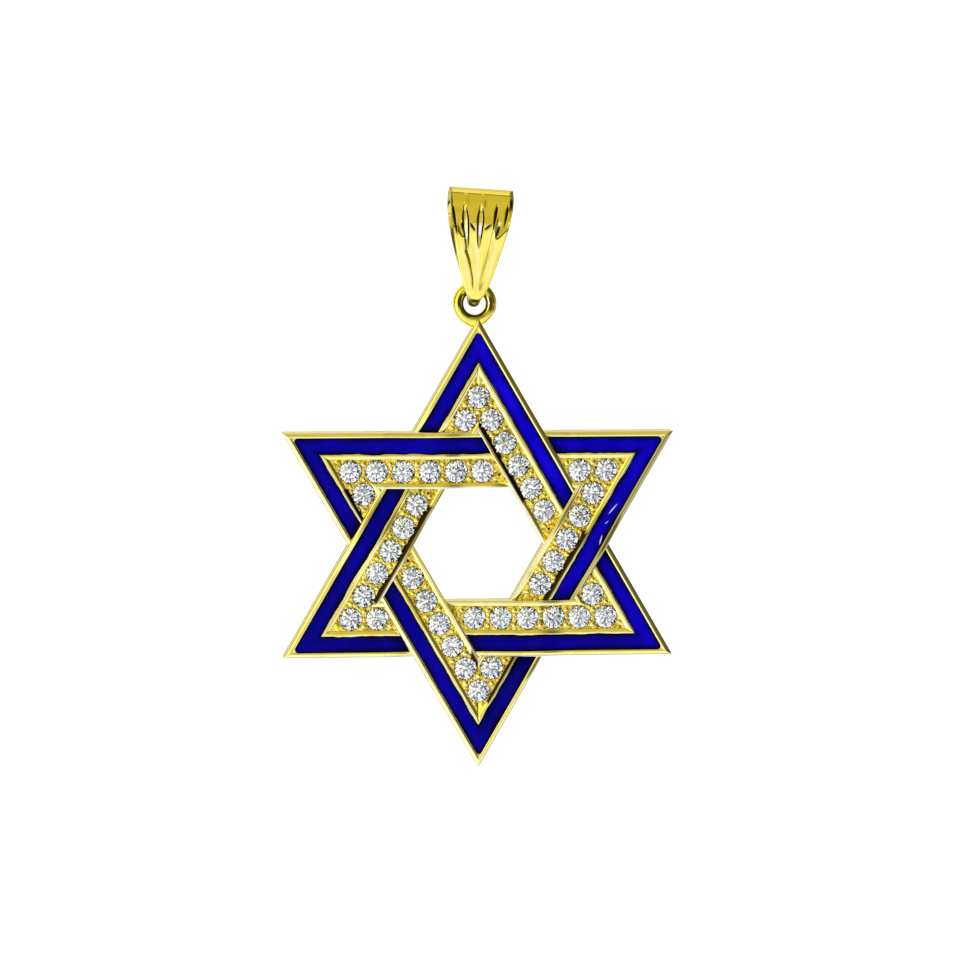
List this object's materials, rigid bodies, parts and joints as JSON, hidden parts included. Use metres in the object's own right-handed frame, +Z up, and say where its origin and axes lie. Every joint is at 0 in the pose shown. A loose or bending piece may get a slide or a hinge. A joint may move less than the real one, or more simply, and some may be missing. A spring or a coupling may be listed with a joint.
{
  "type": "star of david pendant",
  "caption": "Woven six-pointed star pendant in gold with blue enamel arms and round cut stones, hanging by a soldered ring from a tapered, fluted bail.",
  "frame": {"origin": "inside top of the bail's loop, in the middle of its width, where a chain bears", "axes": "+Z up, front face towards -Y, +X to the right as seen from the front"},
  "size_m": [0.0311, 0.0046, 0.0464],
  "materials": {
    "gold": "polished yellow gold, cast",
    "enamel": "glossy dark blue vitreous enamel",
    "stone": "polished facets, clear and white"
  },
  "bodies": {
    "bail": {"bail": "gold"},
    "star": {"star_frame": "gold", "enamel_1": "enamel", "enamel_2": "enamel", "enamel_3": "enamel", "enamel_4": "enamel", "enamel_5": "enamel", "enamel_6": "enamel", "stone_1_1": "stone", "stone_1_2": "stone", "stone_1_3": "stone", "stone_1_4": "stone", "stone_1_5": "stone", "stone_1_6": "stone", "stone_1_7": "stone", "stone_2_1": "stone", "stone_2_2": "stone", "stone_2_3": "stone", "stone_2_4": "stone", "stone_2_5": "stone", "stone_2_6": "stone", "stone_2_7": "stone", "stone_3_1": "stone", "stone_3_2": "stone", "stone_3_3": "stone", "stone_3_4": "stone", "stone_3_5": "stone", "stone_3_6": "stone", "stone_3_7": "stone", "stone_4_1": "stone", "stone_4_2": "stone", "stone_4_3": "stone", "stone_4_4": "stone", "stone_4_5": "stone", "stone_4_6": "stone", "stone_4_7": "stone", "stone_5_1": "stone", "stone_5_2": "stone", "stone_5_3": "stone", "stone_5_4": "stone", "stone_5_5": "stone", "stone_5_6": "stone", "stone_5_7": "stone", "stone_6_1": "stone", "stone_6_2": "stone", "stone_6_3": "stone", "stone_6_4": "stone", "stone_6_5": "stone", "stone_6_6": "stone", "stone_6_7": "stone"}
  },
  "joints": [
    {"name": "star_swing", "type": "hinge", "parent": "bail", "child": "star", "pos_m": [-0.00051, 0, -0.00728], "axis": [1, 0, 0], "range_deg": [-70, 70]}
  ]
}
